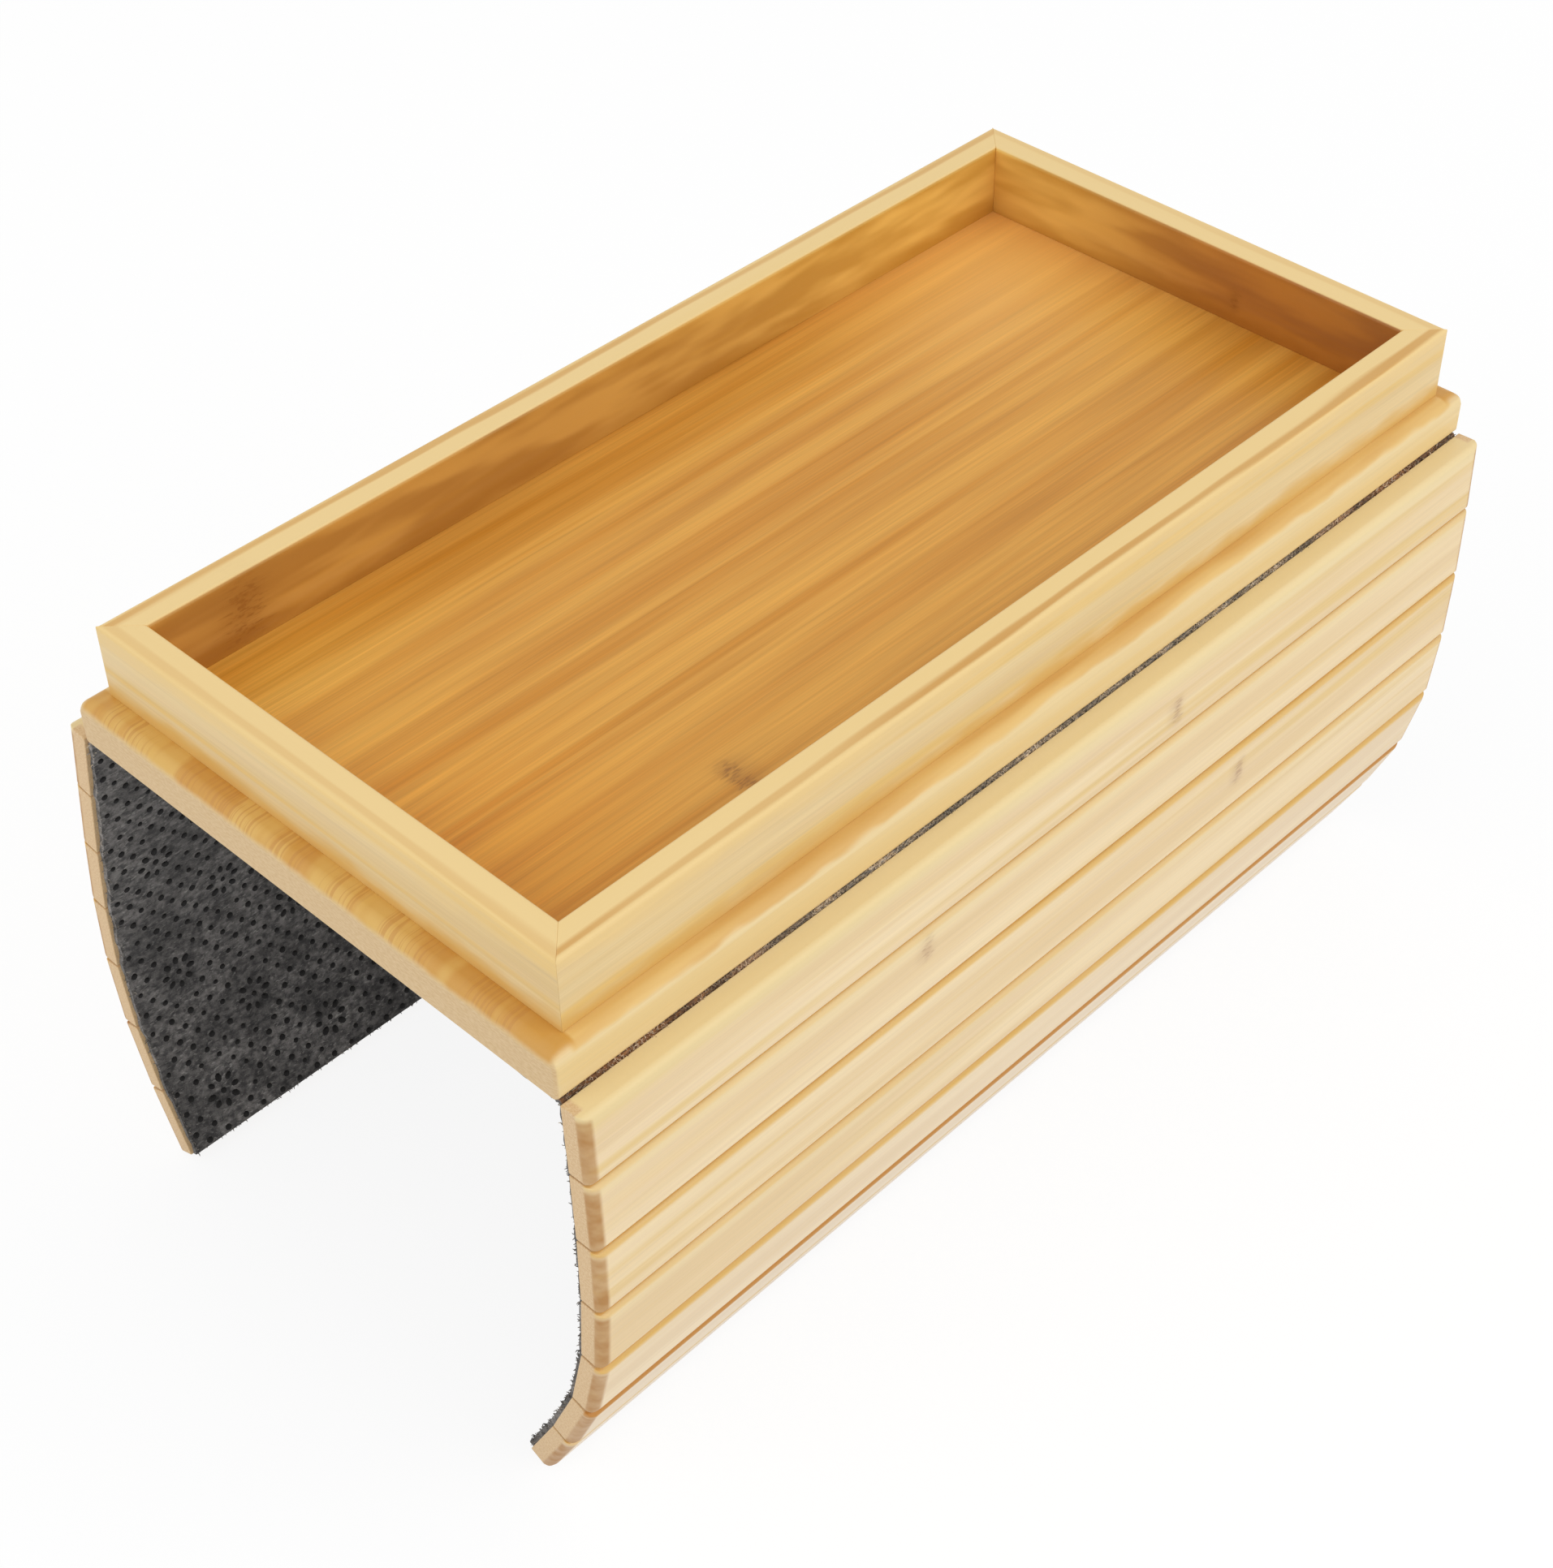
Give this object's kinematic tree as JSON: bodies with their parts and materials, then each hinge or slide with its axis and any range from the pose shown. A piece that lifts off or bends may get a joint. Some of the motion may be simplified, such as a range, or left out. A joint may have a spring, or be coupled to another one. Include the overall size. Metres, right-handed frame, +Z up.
{
  "type": "sofa arm tray",
  "caption": "Bamboo tray with low walls on a ledged board, and slatted flaps on a felt sheet that fold down over the sides of a sofa arm.",
  "frame": {"origin": "middle of the felt's lower face, where the tray rests on the sofa arm", "axes": "+X along the tray's length, which is also the length of the sofa arm; +Y towards the left flap; +Z up"},
  "size_m": [0.375, 0.2199, 0.2099],
  "materials": {
    "bamboo_board": "clear satin varnish on edge-glued bamboo, grain along the tray",
    "bamboo_wall": "clear satin varnish on bamboo strip, grain along each wall",
    "bamboo_slat": "clear satin varnish on bamboo strip, grain along each slat",
    "felt": "dark grey needle felt with small black grip dots"
  },
  "bodies": {
    "tray": {"base_board": "bamboo_board", "wall_right": "bamboo_wall", "wall_left": "bamboo_wall", "wall_near_end": "bamboo_wall", "wall_far_end": "bamboo_wall", "felt_middle": "felt"},
    "right_slat_1": {"slat_right_1": "bamboo_slat", "felt_right_1": "felt", "felt_bend_right_1": "felt"},
    "right_slat_2": {"slat_right_2": "bamboo_slat", "felt_right_2": "felt", "felt_bend_right_2": "felt"},
    "right_slat_3": {"slat_right_3": "bamboo_slat", "felt_right_3": "felt", "felt_bend_right_3": "felt"},
    "right_slat_4": {"slat_right_4": "bamboo_slat", "felt_right_4": "felt", "felt_bend_right_4": "felt"},
    "right_slat_5": {"slat_right_5": "bamboo_slat", "felt_right_5": "felt", "felt_bend_right_5": "felt"},
    "right_slat_6": {"slat_right_6": "bamboo_slat", "felt_right_6": "felt", "felt_bend_right_6": "felt"},
    "right_slat_7": {"slat_right_7": "bamboo_slat", "felt_right_7": "felt", "felt_bend_right_7": "felt"},
    "left_slat_1": {"slat_left_1": "bamboo_slat", "felt_left_1": "felt", "felt_bend_left_1": "felt"},
    "left_slat_2": {"slat_left_2": "bamboo_slat", "felt_left_2": "felt", "felt_bend_left_2": "felt"},
    "left_slat_3": {"slat_left_3": "bamboo_slat", "felt_left_3": "felt", "felt_bend_left_3": "felt"},
    "left_slat_4": {"slat_left_4": "bamboo_slat", "felt_left_4": "felt", "felt_bend_left_4": "felt"},
    "left_slat_5": {"slat_left_5": "bamboo_slat", "felt_left_5": "felt", "felt_bend_left_5": "felt"},
    "left_slat_6": {"slat_left_6": "bamboo_slat", "felt_left_6": "felt", "felt_bend_left_6": "felt"},
    "left_slat_7": {"slat_left_7": "bamboo_slat", "felt_left_7": "felt", "felt_bend_left_7": "felt"}
  },
  "joints": [
    {"name": "fold_right_1", "type": "hinge", "parent": "tray", "child": "right_slat_1", "pos_m": [0, -0.0949, 0.0016], "axis": [1, 0, 0], "range_deg": [-88, 7], "deforming": ["felt_bend_right_1"]},
    {"name": "fold_right_2", "type": "hinge", "parent": "right_slat_1", "child": "right_slat_2", "pos_m": [0, -0.09577, -0.02319], "axis": [1, 0, 0], "range_deg": [-1, 11], "deforming": ["felt_bend_right_2"]},
    {"name": "fold_right_3", "type": "hinge", "parent": "right_slat_2", "child": "right_slat_3", "pos_m": [0, -0.0962, -0.04798], "axis": [1, 0, 0], "range_deg": [-2, 10], "deforming": ["felt_bend_right_3"]},
    {"name": "fold_right_4", "type": "hinge", "parent": "right_slat_3", "child": "right_slat_4", "pos_m": [0, -0.09577, -0.07278], "axis": [1, 0, 0], "range_deg": [-3.5, 41.5], "deforming": ["felt_bend_right_4"]},
    {"name": "fold_right_5", "type": "hinge", "parent": "right_slat_4", "child": "right_slat_5", "pos_m": [0, -0.09382, -0.0975], "axis": [1, 0, 0], "range_deg": [-8.5, 36.5], "deforming": ["felt_bend_right_5"]},
    {"name": "fold_right_6", "type": "hinge", "parent": "right_slat_5", "child": "right_slat_6", "pos_m": [0, -0.08824, -0.12166], "axis": [1, 0, 0], "range_deg": [-10, 35], "deforming": ["felt_bend_right_6"]},
    {"name": "fold_right_7", "type": "hinge", "parent": "right_slat_6", "child": "right_slat_7", "pos_m": [0, -0.07855, -0.14449], "axis": [1, 0, 0], "range_deg": [-4, 41], "deforming": ["felt_bend_right_7"]},
    {"name": "fold_left_1", "type": "hinge", "parent": "tray", "child": "left_slat_1", "pos_m": [0, 0.0949, 0.0016], "axis": [-1, 0, 0], "range_deg": [-80, 15], "deforming": ["felt_bend_left_1"]},
    {"name": "fold_left_2", "type": "hinge", "parent": "left_slat_1", "child": "left_slat_2", "pos_m": [0, 0.09921, -0.02282], "axis": [-1, 0, 0], "range_deg": [-0.3, 11.7], "deforming": ["felt_bend_left_2"]},
    {"name": "fold_left_3", "type": "hinge", "parent": "left_slat_2", "child": "left_slat_3", "pos_m": [0, 0.10339, -0.04727], "axis": [-1, 0, 0], "range_deg": [-2, 10], "deforming": ["felt_bend_left_3"]},
    {"name": "fold_left_4", "type": "hinge", "parent": "left_slat_3", "child": "left_slat_4", "pos_m": [0, 0.10671, -0.07185], "axis": [-1, 0, 0], "range_deg": [-5.2, 39.8], "deforming": ["felt_bend_left_4"]},
    {"name": "fold_left_5", "type": "hinge", "parent": "left_slat_4", "child": "left_slat_5", "pos_m": [0, 0.10779, -0.09662], "axis": [-1, 0, 0], "range_deg": [-8.5, 36.5], "deforming": ["felt_bend_left_5"]},
    {"name": "fold_left_6", "type": "hinge", "parent": "left_slat_5", "child": "left_slat_6", "pos_m": [0, 0.1052, -0.12129], "axis": [-1, 0, 0], "range_deg": [-9, 36], "deforming": ["felt_bend_left_6"]},
    {"name": "fold_left_7", "type": "hinge", "parent": "left_slat_6", "child": "left_slat_7", "pos_m": [0, 0.09878, -0.14524], "axis": [-1, 0, 0], "range_deg": [-7, 38], "deforming": ["felt_bend_left_7"]}
  ]
}
